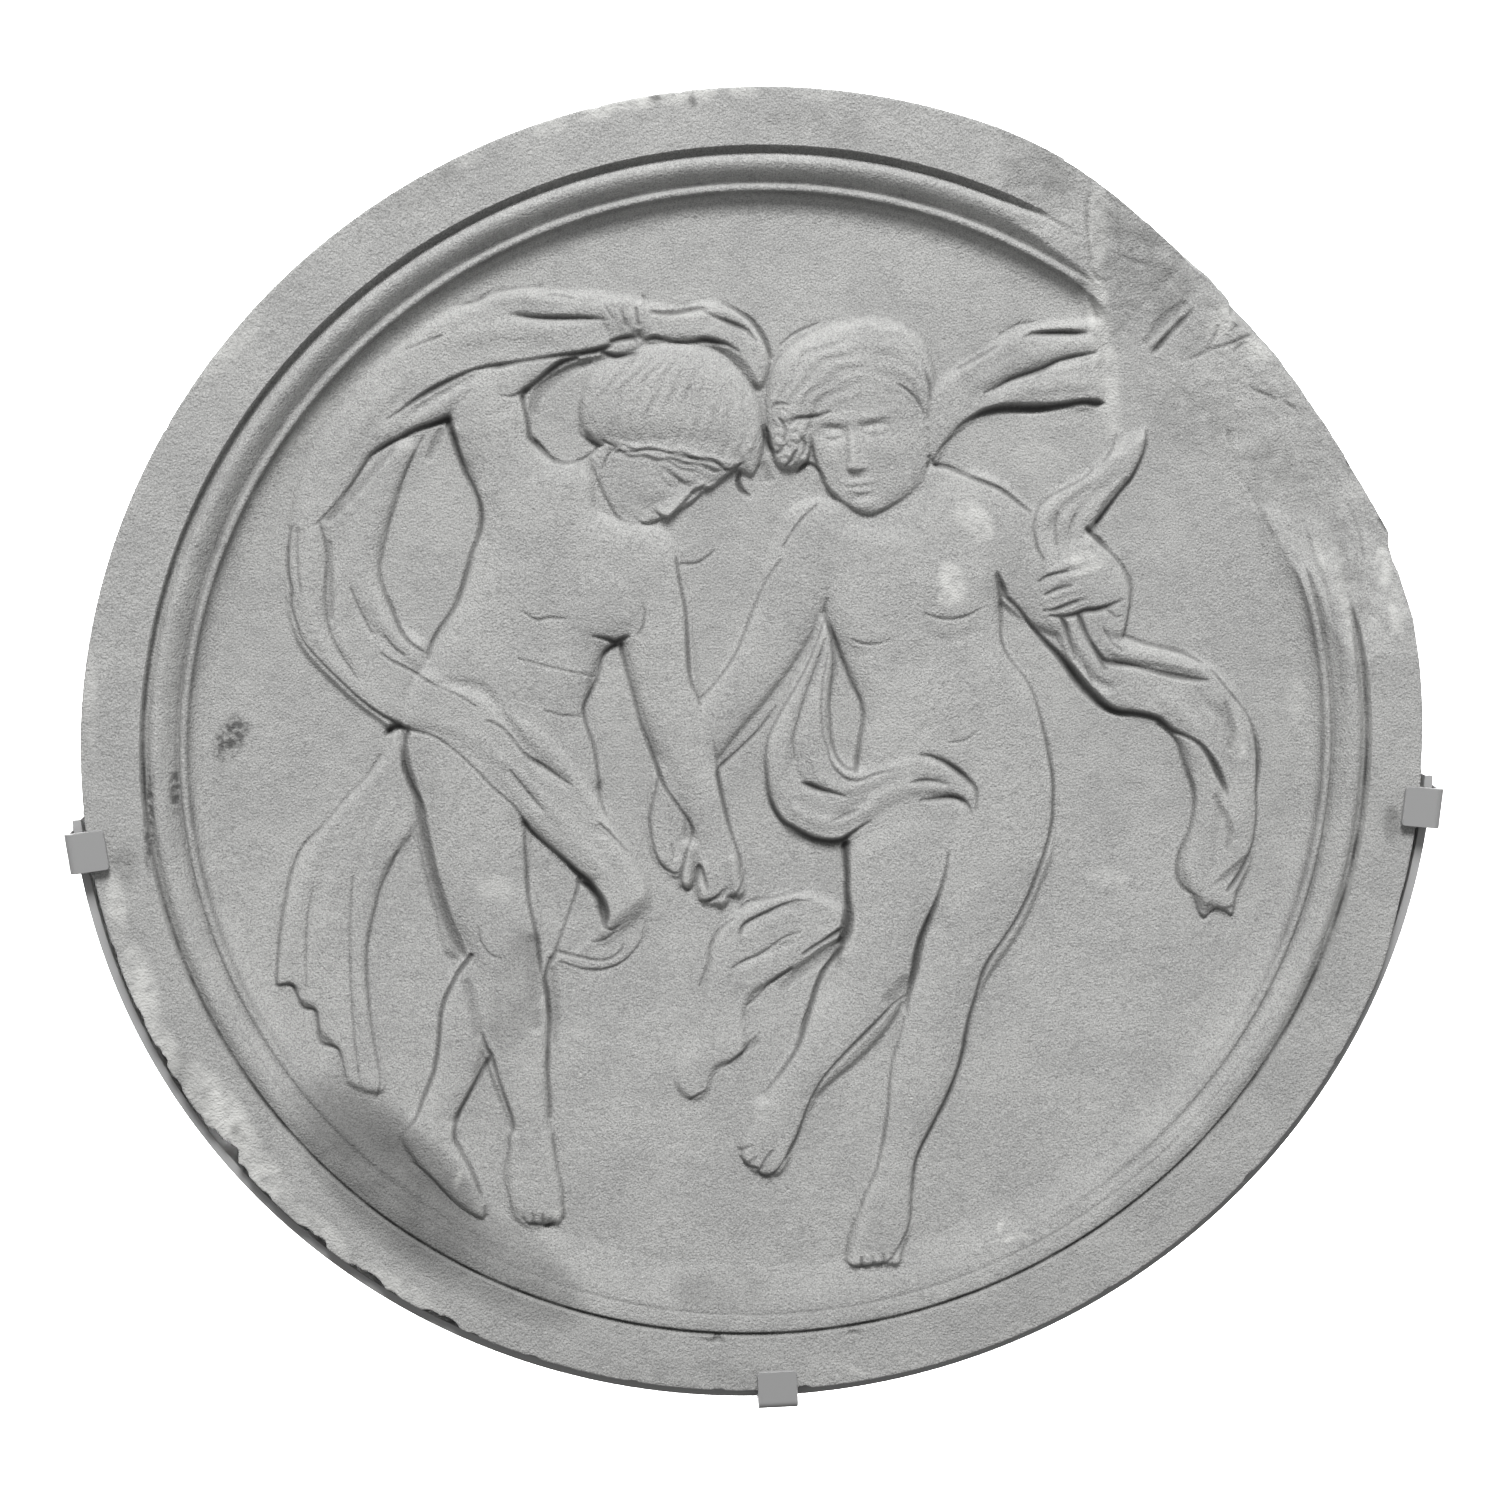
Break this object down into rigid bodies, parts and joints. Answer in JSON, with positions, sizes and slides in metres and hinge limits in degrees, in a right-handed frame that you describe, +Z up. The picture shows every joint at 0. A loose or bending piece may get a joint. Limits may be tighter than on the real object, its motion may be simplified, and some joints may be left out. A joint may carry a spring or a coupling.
{
  "type": "relief roundel",
  "caption": "Round carved stone relief of dancing figures with drapery inside a moulded rim, worn and broken at the upper right, held in a bent steel cradle with clips.",
  "frame": {"origin": "centre of the flat back, where the roundel is fixed to its wall", "axes": "+Z up the relief, -Y out of the carved face, +Y into the wall, +X to the viewer's right"},
  "size_m": [1.0249, 0.0975, 0.9863],
  "materials": {
    "stone": "matt, fine sandy grain, worn",
    "steel": "smooth satin grey paint"
  },
  "bodies": {
    "root": {"stone_roundel": "stone", "cradle_band": "steel", "clip_left": "steel", "clip_right": "steel", "clip_bottom": "steel"}
  },
  "joints": []
}
